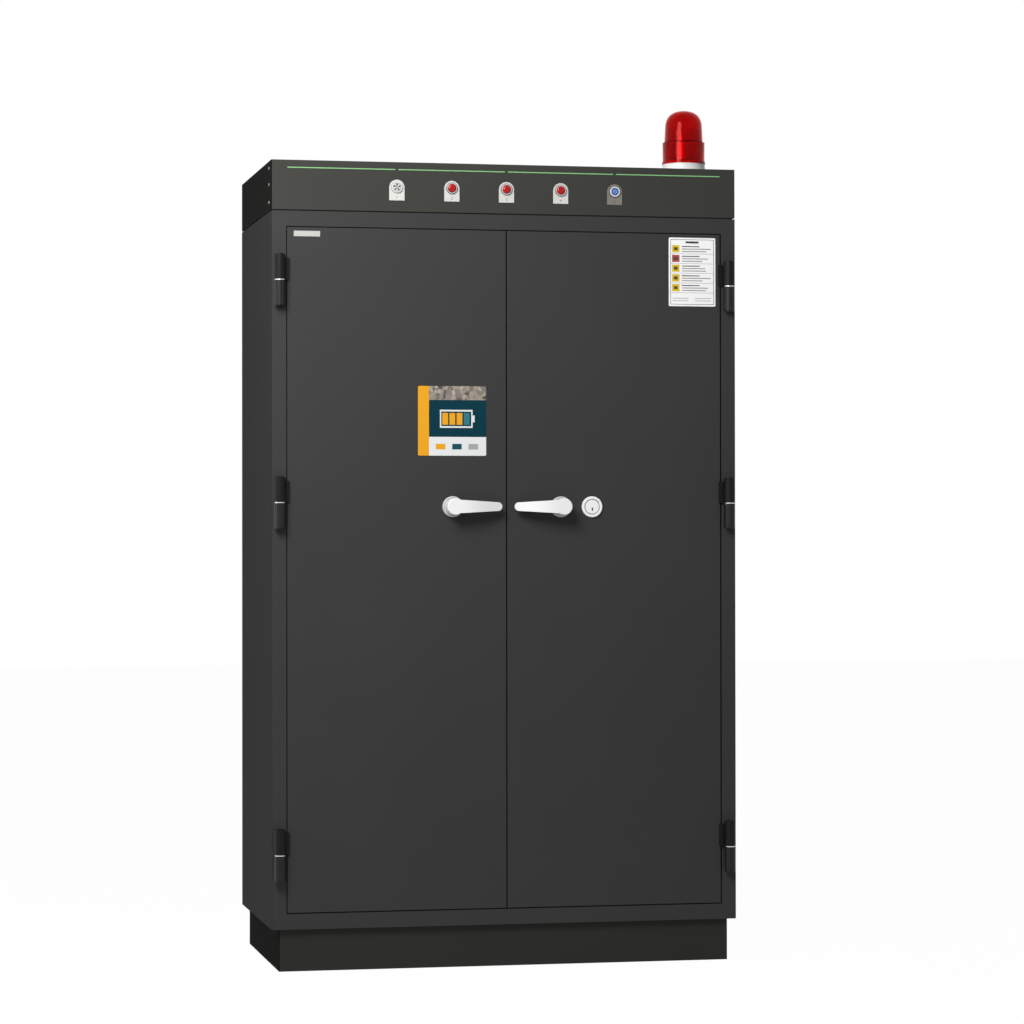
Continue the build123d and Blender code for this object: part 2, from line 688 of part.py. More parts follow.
plate_y = front - plate_sheet
for x in device_xs:
    with BuildPart() as plate:
        with BuildSketch(Plane.XZ.offset(-front)) as outline:
            half_p = plate_width / 2
            z_low, z_arc = plate_top_z - plate_height, plate_top_z - half_p
            with BuildLine():
                Polyline((x - half_p, z_arc), (x - half_p, z_low), (x + half_p, z_low), (x + half_p, z_arc))
                ThreePointArc((x + half_p, z_arc), (x, plate_top_z), (x - half_p, z_arc))
            make_face()
            with Locations((x, device_z)):
                Circle(device_hole_radius, mode=Mode.SUBTRACT)
        extrude(outline.sketch, amount=plate_sheet)
    plates += plate.part.solids()
    with BuildPart() as nut:
        disc(x, device_z, bezel_radius, front + sheet, front + sheet + 5)
        disc(x, device_z, device_hole_radius - seat_gap + 0.1, front + sheet, front + sheet + 5, Mode.SUBTRACT)
    nuts += nut.part.solids()
export_group(plates, "legend_plates")
export_group(nuts, "device_nuts")

# ================= sounder, pilot lamps and push-button =================
stem_radius = device_hole_radius - seat_gap
bezel_front = plate_y - 4.0
stem_back = front + 40.0
with BuildPart() as sounder:
    x = device_xs[0]
    disc(x, device_z, bezel_radius, bezel_front, plate_y)
    fillet(sounder.faces().sort_by(Axis.Y)[0].edges(), 1)
    disc(x, device_z, stem_radius, plate_y, stem_back)
    with BuildSketch(Plane.XZ.offset(-bezel_front)) as grille:
        with Locations((x, device_z)):
            Circle(1.6)
            with PolarLocations(6.5, 5, start_angle=90):
                Circle(2.0)
    extrude(grille.sketch, amount=-4, mode=Mode.SUBTRACT)
keep(sounder, "sounder")

bodies, lenses = [], []
for x in device_xs[1:4]:
    with BuildPart() as pilot:
        disc(x, device_z, bezel_radius, bezel_front, plate_y)
        fillet(pilot.faces().sort_by(Axis.Y)[0].edges(), 1)
        disc(x, device_z, stem_radius, plate_y, stem_back)
        disc(x, device_z, bezel_radius - 3, bezel_front, bezel_front + 2, mode=Mode.SUBTRACT)
    bodies += pilot.part.solids()
    with BuildPart() as lens:
        radius = bezel_radius - 3 - seat_gap
        disc(x, device_z, radius, bezel_front - 6, bezel_front + 2)
        fillet(lens.faces().sort_by(Axis.Y)[0].edges(), 5.5)
    lenses += lens.part.solids()
export_group(bodies, "pilot_lamp_bodies")
export_group(lenses, "pilot_lamp_lenses")

cap_front = bezel_front - 1.0
cap_back = front + 6.0
with BuildPart() as button_housing:
    x = device_xs[4]
    disc(x, device_z, bezel_radius, bezel_front, plate_y)
    fillet(button_housing.faces().sort_by(Axis.Y)[0].edges(), 1)
    disc(x, device_z, stem_radius, plate_y, stem_back)
    bore_back = cap_back + button_travel + 0.3
    disc(x, device_z, cap_radius + seat_gap, bezel_front, bore_back, mode=Mode.SUBTRACT)
keep(button_housing, "button_housing")

with BuildPart() as power_button:
    disc(x, device_z, cap_radius, cap_front, cap_back)
    fillet(power_button.faces().sort_by(Axis.Y)[0].edges(), 0.8)
keep(power_button, "power_button")

# ================= behind the hood's front =================
with BuildPart() as controller:
    box(-330, -90, -190, 10, body_top, body_top + 62)
keep(controller, "controller")
with BuildPart() as power_supply:
    box(90, 310, -150, -30, body_top, body_top + 52)
keep(power_supply, "power_supply")

with BuildPart() as cable_gland:
    disc(gland_x, device_z, gland_radius, back - 14, back)
    with BuildSketch(Plane.XZ.offset(-back)) as outline:
        with Locations((gland_x, device_z)):
            RegularPolygon(15, 6)
    extrude(outline.sketch, amount=-8)
    disc(gland_x, device_z, 12.5, back + 8, back + 24)
    fillet(cable_gland.faces().sort_by(Axis.Y)[-1].edges(), 3)
    disc(gland_x, device_z, gland_bore, back - 14, back + 24, mode=Mode.SUBTRACT)
keep(cable_gland, "cable_gland")

# ================= beacon =================
base_top = hood_top + beacon_base_height
turret_top = base_top + 6.0
collar_top = base_top + collar_height
dome_top = hood_top + beacon_height
dome_spring = dome_top - dome_radius * 0.92


with BuildPart() as beacon_base:
    groove = (hood_top + 20, hood_top + 22)
    rim_r = collar_radius + 1
    with BuildSketch(Plane.XZ) as half_outline:
        with BuildLine():
            Polyline((0, hood_top), (rim_r, hood_top), (rim_r, groove[0]), (rim_r - 2, groove[0]))
            Polyline((rim_r - 2, groove[0]), (rim_r - 2, groove[1]), (rim_r - 1, groove[1]))
            Polyline((rim_r - 1, groove[1]), (rim_r - 1, base_top), (26, base_top), (26, turret_top))
            Polyline((26, turret_top), (0, turret_top), (0, hood_top))
        make_face()
    revolve(half_outline.sketch, axis=Axis.Z)
beacon_spot = Location((beacon_x, beacon_y, 0))
beacon_base.part.locate(beacon_spot)
keep(beacon_base, "beacon_base")

dome_ends = ((0, 1), (-1, 0))
dome_pull = (1.4, 1.4)
with BuildPart() as beacon_lens:
    with BuildSketch(Plane.XZ) as half_outline:
        with BuildLine():
            Polyline((collar_radius - 0.3, base_top), (collar_radius, collar_top - 2))
            Line((collar_radius, collar_top - 2), (dome_radius + 1, collar_top))
            Line((dome_radius + 1, collar_top), (dome_radius - 1, dome_spring))
            Spline((dome_radius - 1, dome_spring), (0, dome_top), tangents=dome_ends, tangent_scalars=dome_pull)
            Line((0, dome_top), (0, dome_top - lens_wall))
            inner_r = dome_radius - 1 - lens_wall
            inner_top = (0, dome_top - lens_wall)
            Spline((inner_r, dome_spring), inner_top, tangents=dome_ends, tangent_scalars=dome_pull)
            Line((inner_r, dome_spring), (dome_radius + 1 - lens_wall, collar_top - lens_wall))
            low_inner = (collar_radius - 0.3 - lens_wall, base_top)
            Line((dome_radius + 1 - lens_wall, collar_top - lens_wall), low_inner)
            Line(low_inner, (collar_radius - 0.3, base_top))
        make_face()
    revolve(half_outline.sketch, axis=Axis.Z)
beacon_lens.part.locate(beacon_spot)
keep(beacon_lens, "beacon_lens")

bulb_top = turret_top + 48
with BuildPart() as beacon_lamp:
    with BuildSketch(Plane.XZ) as half_outline:
        with BuildLine():
            Polyline((0, turret_top), (lamp_radius, turret_top), (lamp_radius, turret_top + 16))
            Line((lamp_radius, turret_top + 16), (lamp_radius - 3, turret_top + 18))
            Spline(
                (lamp_radius - 3, turret_top + 18),
                (lamp_radius + 1, turret_top + 34),
                (0, bulb_top),
                tangents=((0.3, 1), (-1, 0)),
            )
            Line((0, bulb_top), (0, turret_top))
        make_face()
    revolve(half_outline.sketch, axis=Axis.Z)
beacon_lamp.part.locate(beacon_spot)
keep(beacon_lamp, "beacon_lamp")

with BuildPart() as beacon_reflector:
    rotor_z = turret_top + seat_gap
    with BuildSketch(Plane.XY.offset(rotor_z)) as rotor:
        Circle(36)
        Circle(lamp_radius + 1, mode=Mode.SUBTRACT)
    extrude(rotor.sketch, amount=4)
    with BuildSketch(Plane.XY.offset(rotor_z + 4)) as mirror_outline:
        Circle(33)
        Circle(31, mode=Mode.SUBTRACT)
        with Locations((50, 0)):
            Rectangle(100, 100, mode=Mode.SUBTRACT)
    extrude(mirror_outline.sketch, amount=56)
beacon_reflector.part.locate(beacon_spot)
keep(beacon_reflector, "beacon_reflector")
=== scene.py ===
import json
import math

import bmesh
import bpy
import numpy as np
from mathutils import Matrix, Vector


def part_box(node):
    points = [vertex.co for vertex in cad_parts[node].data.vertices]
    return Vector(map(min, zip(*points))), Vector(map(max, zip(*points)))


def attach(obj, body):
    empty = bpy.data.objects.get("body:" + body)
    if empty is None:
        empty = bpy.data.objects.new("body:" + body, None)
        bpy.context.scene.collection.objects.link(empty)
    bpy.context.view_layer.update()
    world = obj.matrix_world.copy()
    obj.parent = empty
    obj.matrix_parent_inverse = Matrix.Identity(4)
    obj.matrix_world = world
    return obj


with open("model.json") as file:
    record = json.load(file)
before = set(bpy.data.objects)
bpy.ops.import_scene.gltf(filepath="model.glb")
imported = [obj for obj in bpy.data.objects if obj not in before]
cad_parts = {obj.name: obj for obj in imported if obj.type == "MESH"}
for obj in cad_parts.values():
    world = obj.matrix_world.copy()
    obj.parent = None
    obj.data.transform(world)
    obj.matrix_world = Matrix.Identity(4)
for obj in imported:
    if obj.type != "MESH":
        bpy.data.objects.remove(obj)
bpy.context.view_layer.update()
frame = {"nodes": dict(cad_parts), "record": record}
nodes = frame["nodes"]
mm = 0.001


def centreOf(name):
    low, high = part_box(name)
    return (low + high) / 2


def grey(level):
    return (level,) * 3


def band(value, low, high):
    return (value > low) * (value < high)


def radius(dx, dz):
    return (dx * dx + dz * dz).root()


# shader maths: a socket that can be added, multiplied and compared
class Sock:
    def __init__(self, tree, out):
        self.tree, self.out = tree, out

    def maths(self, operation, *values):
        made = self.tree.nodes.new("ShaderNodeMath")
        made.operation = operation
        for slot, value in zip(made.inputs, values):
            if isinstance(value, Sock):
                self.tree.links.new(value.out, slot)
            else:
                slot.default_value = value
        return Sock(self.tree, made.outputs[0])

    def __add__(self, other):
        return self.maths("ADD", self, other)

    def __radd__(self, other):
        return self.maths("ADD", other, self)

    def __sub__(self, other):
        return self.maths("SUBTRACT", self, other)

    def __rsub__(self, other):
        return self.maths("SUBTRACT", other, self)

    def __mul__(self, other):
        return self.maths("MULTIPLY", self, other)

    def __rmul__(self, other):
        return self.maths("MULTIPLY", other, self)

    def __truediv__(self, other):
        return self.maths("DIVIDE", self, other)

    def __gt__(self, other):
        return self.maths("GREATER_THAN", self, other)

    def __lt__(self, other):
        return self.maths("LESS_THAN", self, other)

    def __abs__(self):
        return self.maths("ABSOLUTE", self)

    def root(self):
        return self.maths("SQRT", self)

    def rounded(self):
        return self.maths("ROUND", self)

    def sine(self):
        return self.maths("SINE", self)

    def turnFrom(self, other):
        return self.maths("ARCTAN2", self, other)

    def clipped(self):
        return self.maths("MINIMUM", self.maths("MAXIMUM", self, 0.0), 1.0)


# a finish: one material with its shader, built up by node() and feed()
class Finish:
    def __init__(self, name, **constants):
        self.mat = bpy.data.materials.new(name)
        self.mat.use_nodes = True
        self.tree = self.mat.node_tree
        self.shader = self.tree.nodes["Principled BSDF"]
        for socket, value in constants.items():
            self.shader.inputs[socket.replace("_", " ")].default_value = value
        self.own = Sock(self.tree, self.shader.outputs[0])
        place = self.tree.nodes.new("ShaderNodeTexCoord")
        self.place = Sock(self.tree, place.outputs["Object"])

    def node(self, kind, settings, values, output=0):
        made = self.tree.nodes.new(kind)
        for key, value in settings.items():
            setattr(made, key, value)
        for key, value in values.items():
            slot = made.inputs[key]
            if isinstance(value, Sock):
                self.tree.links.new(value.out, slot)
            else:
                slot.default_value = value
        return Sock(self.tree, made.outputs[output])

    def xyz(self):
        split = self.node("ShaderNodeSeparateXYZ", {}, {0: self.place})
        return [Sock(self.tree, out) for out in split.out.node.outputs]

    def noise(self, scale, detail=3.0, roughness=0.55, stretch=None):
        place = self.place
        if stretch:
            place = self.node("ShaderNodeMapping", {}, {"Vector": place, "Scale": stretch})
        return self.node(
            "ShaderNodeTexNoise",
            {"noise_dimensions": "3D"},
            {"Vector": place, "Scale": scale, "Detail": detail, "Roughness": roughness},
        )

    def mix(self, mask, first, second):
        made = self.node("ShaderNodeMix", {"data_type": "RGBA"}, {0: mask}, output=2)
        for slot, value in ((6, first), (7, second)):
            target = made.out.node.inputs[slot]
            if isinstance(value, Sock):
                self.tree.links.new(value.out, target)
            else:
                target.default_value = (*value, 1.0)
        return made

    def bump(self, height, strength, distance):
        values = {"Height": height, "Strength": strength, "Distance": distance}
        self.feed("Normal", self.node("ShaderNodeBump", {}, values))

    def feed(self, socket, value):
        if isinstance(value, Sock):
            self.tree.links.new(value.out, self.shader.inputs[socket])
        else:
            self.shader.inputs[socket].default_value = value

    def blend(self, mask, first, second):
        both = self.node("ShaderNodeMixShader", {}, {0: mask, 1: first, 2: second})
        self.tree.links.new(both.out, self.tree.nodes["Material Output"].inputs["Surface"])


# finishes
graphite = {
    "tone": (0.0300, 0.0300, 0.0298),
    "lift": (0.0400, 0.0400, 0.0397),
    # painted shade: tone of the darker, duller copy of the coat on the flanks
    "flankShadeTone": (0.0300, 0.0302, 0.0300),
    "flankFrom": 0.5985,
    "grainPerMetre": 520.0,
    "grainDepth": 0.00010,
    "sheen": 0.08,
}
hoodTone = dict(
    graphite, tone=(0.0310, 0.0315, 0.0280), lift=(0.0410, 0.0415, 0.0375), flankShadeTone=(0.0060, 0.0063, 0.0056)
)
plinthTone = dict(
    graphite,
    tone=(0.0200, 0.0205, 0.0185),
    lift=(0.0260, 0.0265, 0.0240),
    flankShadeTone=(0.0030, 0.0034, 0.0028),
    flankFrom=0.5785,
)
doorLow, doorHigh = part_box("door_skin_left")
doorGap = 1.5 * mm
# where painted shadow fills the door gap on the frame's edge
doorGapShade = {
    "side": -doorLow.x + doorGap,
    "low": doorLow.z - doorGap,
    "high": doorHigh.z + doorGap,
    "reach": 1.1 * mm,
}


def powderCoat(name, settings=graphite, seamShaded=False):
    # fine pebbled coat: small bumps, cloudy tone and a rubbed change of gloss; painted shade: the flanks get a
    # duller, darker copy of the coat;
    # when the seam shade is asked for, painted shadow blackens the frame's edge round the doors as far as reach
    coat = Finish(name, Specular_IOR_Level=settings["sheen"])
    grain = coat.noise(settings["grainPerMetre"], 2.0)
    cloud = coat.noise(2.2, 4.0)
    speck = coat.noise(settings["grainPerMetre"] * 2.4, 1.0)
    shade = (cloud * 0.7 + speck * 0.5 - 0.1).clipped()
    x, z = coat.xyz()[::2]
    tone = coat.mix(shade, settings["tone"], settings["lift"])
    # painted shadow: the frame's edge inside the door gap is painted near black
    if seamShaded:
        side, low, high, reach = (doorGapShade[key] for key in ("side", "low", "high", "reach"))
        rim = band(abs(x), side - mm, side + reach) * band(z, low - reach, high + reach)
        sillShade = band(z, low - reach, low + mm) + band(z, high - mm, high + reach)
        tone = coat.mix((rim + sillShade * (abs(x) < side + reach)).clipped(), tone, grey(0.002))
    coat.feed("Base Color", tone)
    coat.feed("Roughness", 0.40 + grain * 0.14 + cloud * 0.08)
    coat.bump(grain, 0.35, settings["grainDepth"])
    # painted shade: a duller, darker copy of the coat laid on the flanks so the sides render dark
    flankShade = coat.node(
        "ShaderNodeBsdfPrincipled",
        {},
        {"Specular IOR Level": 0.006, "Base Color": (*settings["flankShadeTone"], 1.0), "Roughness": 0.62 + grain * 0.2},
    )
    coat.blend(abs(x) > settings["flankFrom"], coat.own, flankShade)
    return coat.mat


def smoothCoat(name, tone, lift, gloss=0.35, grainPerMetre=700.0, depth=0.00006, sheen=0.4):
    coat = Finish(name, Specular_IOR_Level=sheen)
    grain = coat.noise(grainPerMetre, 2.0)
    cloud = coat.noise(9.0, 4.0)
    coat.feed("Base Color", coat.mix(cloud, tone, lift))
    coat.feed("Roughness", gloss + grain * 0.08 + cloud * 0.06)
    coat.bump(grain, 0.25, depth)
    return coat.mat


def drawnSteel(name, tone, rough, along=(1.0, 1.0, 0.02)):
    steel = Finish(name)
    lines = steel.noise(900.0, 3.0, stretch=along)
    stain = steel.noise(25.0, 4.0)
    dark = tuple(value * 0.72 for value in tone)
    steel.feed("Base Color", steel.mix(stain, dark, tone))
    steel.feed("Metallic", 0.92 + stain * 0.08)
    steel.feed("Roughness", rough + lines * 0.18)
    steel.bump(lines, 0.2, 0.00004)
    return steel.mat


def rubberSeal(name):
    seal = Finish(name, Specular_IOR_Level=0.3)
    dust = seal.noise(140.0, 5.0)
    seal.feed("Base Color", seal.mix(dust, grey(0.010), (0.028, 0.028, 0.027)))
    seal.feed("Roughness", 0.62 + dust * 0.2)
    seal.bump(dust, 0.3, 0.0002)
    return seal.mat


def mineralBoard(name):
    board = Finish(name, Specular_IOR_Level=0.2)
    fibre = board.noise(260.0, 6.0, stretch=(1.0, 1.0, 4.0))
    board.feed("Base Color", board.mix(fibre, (0.42, 0.38, 0.29), (0.66, 0.62, 0.52)))
    board.feed("Roughness", 0.85 + fibre * 0.1)
    board.bump(fibre, 0.6, 0.0008)
    return board.mat


stripCore = 1.3 * mm


def litStrip(name):
    # a pale green diffuser, brighter along its middle than at its lips
    strip = Finish(name, Emission_Strength=0.25, Roughness=0.4)
    z = strip.xyz()[2]
    core = (1.25 - abs(z - centreOf("light_strips").z) / stripCore).clipped()
    flicker = strip.noise(60.0, 2.0)
    tone = strip.mix(core * (0.8 + flicker * 0.2), (0.012, 0.035, 0.012), (0.20, 0.43, 0.18))
    strip.feed("Base Color", tone)
    strip.feed("Emission Color", tone)
    return strip.mat


bronzeFrom = 210.0 * mm


def plateMetal(name):
    # satin plates; the one under the push-button has a bronze tone
    plate = Finish(name)
    x = plate.xyz()[0]
    lines = plate.noise(1200.0, 2.0, stretch=(0.03, 1.0, 1.0))
    satin = plate.mix(lines, (0.44, 0.43, 0.41), (0.58, 0.57, 0.55))
    bronze = plate.mix(lines, (0.13, 0.115, 0.10), (0.20, 0.18, 0.16))
    plate.feed("Base Color", plate.mix(x > bronzeFrom, satin, bronze))
    plate.feed("Metallic", 0.25 + lines * 0.1)
    plate.feed("Roughness", 0.42 + lines * 0.15)
    plate.bump(lines, 0.15, 0.00003)
    return plate.mat


def gloss(name, tone, lift, rough=0.12, coat=0.0, sheen=0.5):
    skin = Finish(name, Coat_Weight=coat, Coat_Roughness=0.05, Specular_IOR_Level=sheen)
    cloud = skin.noise(90.0, 3.0)
    skin.feed("Base Color", skin.mix(cloud, tone, lift))
    skin.feed("Roughness", rough + cloud * 0.08)
    skin.bump(skin.noise(300.0, 1.0), 0.08, 0.00005)
    return skin.mat


# height band of painted shade at the lens's step
beaconStepShade = {"low": 2116.2 * mm, "high": 2118.6 * mm}


def clearRed(name, tone=(0.64, 0.0, 0.0003), clear=0.92, rough=0.02, seamShaded=False):
    # dyed clear plastic, with a painted shade band at its step when asked for
    red = Finish(name, Transmission_Weight=clear, IOR=1.22, Specular_Tint=(1.0, 0.3, 0.3, 1.0))
    haze = red.noise(40.0, 3.0)
    dyed = red.mix(haze, tone, tuple(value * 0.85 for value in tone))
    if seamShaded:
        dyed = red.mix(band(red.xyz()[2], beaconStepShade["low"], beaconStepShade["high"]), dyed, (0.12, 0.0, 0.0))
    red.feed("Base Color", dyed)
    red.feed("Roughness", rough + haze * 0.05)
    return red.mat


bezel = {"pitch": 141.0 * mm, "shadeFrom": 13.2 * mm}


def chromeRing(name):
    # bright bezel whose outer lip gets painted shade, by distance from the nearest device's middle
    chrome = Finish(name)
    middle = centreOf("sounder")
    x, z = chrome.xyz()[::2]
    nearest = ((x - middle.x) / bezel["pitch"]).rounded()
    reach = radius(x - middle.x - nearest * bezel["pitch"], z - middle.z)
    spun = chrome.noise(700.0, 2.0)
    bright = chrome.mix(spun, (0.60, 0.60, 0.61), (0.74, 0.74, 0.75))
    # painted shade: beyond the shade radius the bezel is painted near black
    chrome.feed("Base Color", chrome.mix(reach > bezel["shadeFrom"], bright, grey(0.03)))
    chrome.feed("Metallic", 0.85 + spun * 0.1)
    chrome.feed("Roughness", 0.12 + spun * 0.1)
    chrome.bump(spun, 0.1, 0.00003)
    return chrome.mat


grilleCap = {
    "lobes": 5.0,
    "petalFrom": 2.6 * mm,
    "petalTo": 8.6 * mm,
    "rimFrom": 9.6 * mm,
    "rimTo": 10.6 * mm,
    "shadeDeepFrom": 0.5 * mm,
}


def sounderGrille(name):
    # pale cap with a dark ring at its rim; painted shade darkens its petal holes and everything deeper than its
    # front
    grille = Finish(name, Specular_IOR_Level=0.3)
    middle = centreOf("sounder")
    x, y, z = grille.xyz()
    grain = grille.noise(500.0, 3.0)
    pale = grille.mix(grain, (0.44, 0.44, 0.42), (0.54, 0.54, 0.52))
    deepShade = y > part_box("sounder")[0].y + grilleCap["shadeDeepFrom"]
    dx, dz = x - middle.x, z - middle.z
    reach = radius(dx, dz)
    lobe = (dz.turnFrom(dx) * grilleCap["lobes"]).sine() > 0.2
    petalShade = lobe * band(reach, grilleCap["petalFrom"], grilleCap["petalTo"])
    # painted shade: petal holes and the recess behind the front face are painted dark
    petalShaded = grille.mix(petalShade, pale, grey(0.05))
    rimmed = grille.mix(band(reach, grilleCap["rimFrom"], grilleCap["rimTo"]), petalShaded, grey(0.06))
    grille.feed("Base Color", grille.mix(deepShade, rimmed, grey(0.015)))
    grille.feed("Roughness", 0.45 + grain * 0.15)
    grille.bump(grain, 0.3, 0.00006)
    return grille.mat


lock = {
    "ringAt": 18.9 * mm,
    "ringHalf": 0.9 * mm,
    "plugRadius": 4.95 * mm,
    "slotHalf": 1.5 * mm,
    "slotLow": 4.2 * mm,
    "slotHigh": 3.6 * mm,
}


def lockFace(name):
    # pale face with the shadowed groove round its inner disc, by distance from its middle
    face = Finish(name, Specular_IOR_Level=0.4)
    middle = centreOf("lock_body")
    x, z = face.xyz()[::2]
    groove = abs(radius(x - middle.x, z - middle.z) - lock["ringAt"]) < lock["ringHalf"]
    grain = face.noise(700.0, 3.0)
    face.feed("Base Color", face.mix(groove, face.mix(grain, grey(0.74), grey(0.82)), grey(0.10)))
    face.feed("Roughness", 0.28 + grain * 0.1)
    face.bump(grain, 0.2, 0.00005)
    return face.mat


def keyway(name):
    # pale plug with painted shade in its upright key slot
    plug = Finish(name, Specular_IOR_Level=0.4)
    low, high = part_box("lock_plug")
    x, z = plug.xyz()[::2]
    rise = z - (high.z - lock["plugRadius"])
    # painted shade: the key slot is painted near black
    slot = (abs(x - (low.x + high.x) / 2) < lock["slotHalf"]) * band(rise, -lock["slotLow"], lock["slotHigh"])
    grain = plug.noise(900.0, 3.0)
    plug.feed("Base Color", plug.mix(slot, plug.mix(grain, grey(0.66), grey(0.76)), grey(0.006)))
    plug.feed("Roughness", 0.25 + grain * 0.15)
    plug.bump(grain, 0.2, 0.00004)
    return plug.mat


button = {"cap": 9.4 * mm, "ringIn": 3.7 * mm, "ringOut": 5.2 * mm, "eye": 1.3 * mm}


def litButton(name):
    # navy cap with a paler lit ring and eye, by distance from its middle
    cap = Finish(name, Emission_Strength=0.08, Specular_IOR_Level=0.3)
    middle = centreOf("power_button")
    x, z = cap.xyz()[::2]
    reach = radius(x - middle.x, z - middle.z)
    lit = (band(reach, button["ringIn"], button["ringOut"]) + (reach < button["eye"])).clipped()
    grain = cap.noise(800.0, 2.0)
    navy = cap.mix(grain, (0.012, 0.045, 0.20), (0.020, 0.065, 0.27))
    rim = cap.mix(reach > button["cap"], navy, (0.55, 0.57, 0.60))
    cap.feed("Base Color", cap.mix(lit, rim, (0.22, 0.36, 0.70)))
    cap.feed("Emission Color", cap.mix(lit, grey(0.0), (0.10, 0.25, 0.85)))
    cap.feed("Roughness", 0.2 + grain * 0.15)
    cap.bump(grain, 0.1, 0.00003)
    return cap.mat


def lampGlass(name):
    glass = Finish(name, Transmission_Weight=0.6, IOR=1.45, Emission_Strength=0.15)
    haze = glass.noise(60.0, 2.0)
    glass.feed("Base Color", glass.mix(haze, (0.9, 0.75, 0.6), (0.95, 0.85, 0.75)))
    glass.feed("Emission Color", (1.0, 0.55, 0.3, 1.0))
    glass.feed("Roughness", 0.1 + haze * 0.1)
    return glass.mat


slotFinish = {
    "graphite_coat": powderCoat("graphiteCoat"),
    "plinth_coat": powderCoat("plinthCoat", plinthTone),
    "liner_coat": smoothCoat("linerCoat", (0.60, 0.61, 0.61), (0.68, 0.69, 0.69)),
    "mineral_board": mineralBoard("mineralBoard"),
    "zinc_steel": drawnSteel("zincSteel", (0.62, 0.62, 0.60), 0.32),
    "hinge_coat": smoothCoat("hingeCoat", grey(0.006), grey(0.010), 0.27, sheen=0.20),
    "bright_washer": drawnSteel("brightWasher", grey(0.80), 0.25),
    "seal_rubber": rubberSeal("sealRubber"),
    "pale_handle": smoothCoat("paleHandle", grey(0.70), grey(0.76), 0.30),
    "pale_lock": lockFace("paleLock"),
    "strip_green": litStrip("stripGreen"),
    "plate_metal": plateMetal("plateMetal"),
    "chrome_ring": chromeRing("chromeRing"),
    "red_lens": gloss("redLens", (0.27, 0.0005, 0.001), (0.34, 0.001, 0.002), 0.12, 0.2, 0.2),
    "sounder_grey": sounderGrille("sounderGrey"),
    "button_metal": litButton("buttonMetal"),
    "module_plastic": smoothCoat("modulePlastic", (0.02, 0.022, 0.025), (0.03, 0.032, 0.035), 0.5),
    "beacon_white": smoothCoat("beaconWhite", (0.70, 0.70, 0.69), (0.78, 0.78, 0.77), 0.28),
    "beacon_red": clearRed("beaconRed", seamShaded=True),
    "mirror_steel": drawnSteel("mirrorSteel", grey(0.92), 0.05, along=(1.0, 1.0, 1.0)),
    "lamp_glass": lampGlass("lampGlass"),
    "gland_plastic": smoothCoat("glandPlastic", grey(0.012), grey(0.02), 0.45),
    "socket_plastic": smoothCoat("socketPlastic", (0.50, 0.50, 0.49), (0.58, 0.58, 0.57), 0.4),
}
ownFinish = {
    "face_frame": powderCoat("frameCoat", seamShaded=True),
    "hood_cover": powderCoat("hoodCoat", hoodTone),
    "lock_plug": keyway("keyway"),
    "hood_screws": drawnSteel("screwSteel", grey(0.22), 0.35),
}
for hand in ("left", "right"):
    ownFinish["rosette_" + hand] = smoothCoat("rosetteCoat_" + hand, grey(0.40), grey(0.47), 0.35)
    # painted shade: the hinge leaves are made near black, standing in for their shadow
    shadedLeafCoat = smoothCoat("shadedLeafCoat_" + hand, grey(0.004), grey(0.007), 0.4, sheen=0.12)
    ownFinish["hinge_leaves_" + hand] = shadedLeafCoat
for part in frame["record"]["subparts"]:
    name, slotName = part["node"], part["material_slot"]
    nodes[name].data.materials.clear()
    nodes[name].data.materials.append(ownFinish[name] if name in ownFinish else slotFinish[slotName])
print("finishes laid on", len(nodes), "solids")


# surfaces from numpy grids
def gridMesh(name, points, closeU=False, closeV=False):
    # points is a (u, v, 3) array; neighbouring rows and columns become quads
    rows, cols = points.shape[:2]
    index = np.arange(rows * cols).reshape(rows, cols)
    if closeU:
        index = np.vstack([index, index[:1]])
    if closeV:
        index = np.hstack([index, index[:, :1]])
    corners = (index[:-1, :-1], index[:-1, 1:], index[1:, 1:], index[1:, :-1])
    quads = np.stack([corner.ravel() for corner in corners], axis=1)
    mesh = bpy.data.meshes.new(name)
    mesh.from_pydata(points.reshape(-1, 3).tolist(), [], quads.tolist())
    mesh.update()
    piece = bpy.data.objects.new(name, mesh)
    bpy.context.scene.collection.objects.link(piece)
    return piece


def tidyMesh(piece):
    # merges doubles at seams and poles and turns every face outwards
    work = bmesh.new()
    work.from_mesh(piece.data)
    bmesh.ops.remove_doubles(work, verts=work.verts, dist=1e-6)
    bmesh.ops.dissolve_degenerate(work, edges=work.edges, dist=1e-7)
    bmesh.ops.recalc_face_normals(work, faces=work.faces)
    work.to_mesh(piece.data)
    work.free()
    return piece


def finishWith(piece, finish, body):
    piece.data.materials.append(finish)
    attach(piece, body)
    return piece


doorFace = doorLow.y
poster = {
    "centre": (-140.8 * mm, 1380.2 * mm),
    "width": 175.2 * mm,
    "height": 175.9 * mm,
    "thick": 0.6 * mm,
    "columnTo": 0.16,
    "footTo": 0.27,
    "stripFrom": 0.80,
    "cell": (0.32, 0.80, 0.40, 0.66),
    "hollow": (0.34, 0.78, 0.425, 0.635),
    "nub": (0.80, 0.83, 0.48, 0.58),
    "barsFrom": 0.355,
    "barPitch": 0.105,
    "barWidth": 0.085,
    "barRise": (0.445, 0.615),
    "blocksFrom": (0.26, 0.50, 0.74),
    "blockWidth": 0.14,
    "blockRise": (0.09, 0.17),
}
notice = {
    "centre": (486.5 * mm, 1766.4 * mm),
    "width": 123.6 * mm,
    "height": 176.0 * mm,
    "thick": 0.6 * mm,
    "rim": (0.035, 0.965, 0.025, 0.975),
    "field": (0.045, 0.955, 0.032, 0.968),
    "title": (0.36, 0.64, 0.918, 0.948),
    "rows": 5,
    "rowsFrom": 0.89,
    "rowPitch": 0.142,
    "linePitch": 0.036,
    "lineHigh": 0.014,
    "footFrom": (0.08, 0.56),
    "footRise": 0.12,
    "footPitch": 0.035,
}
badge = {"centre": (-510.6 * mm, 1847.4 * mm), "width": 66.5 * mm, "height": 13.9 * mm, "thick": 0.8 * mm}
amber = (0.66, 0.30, 0.015)


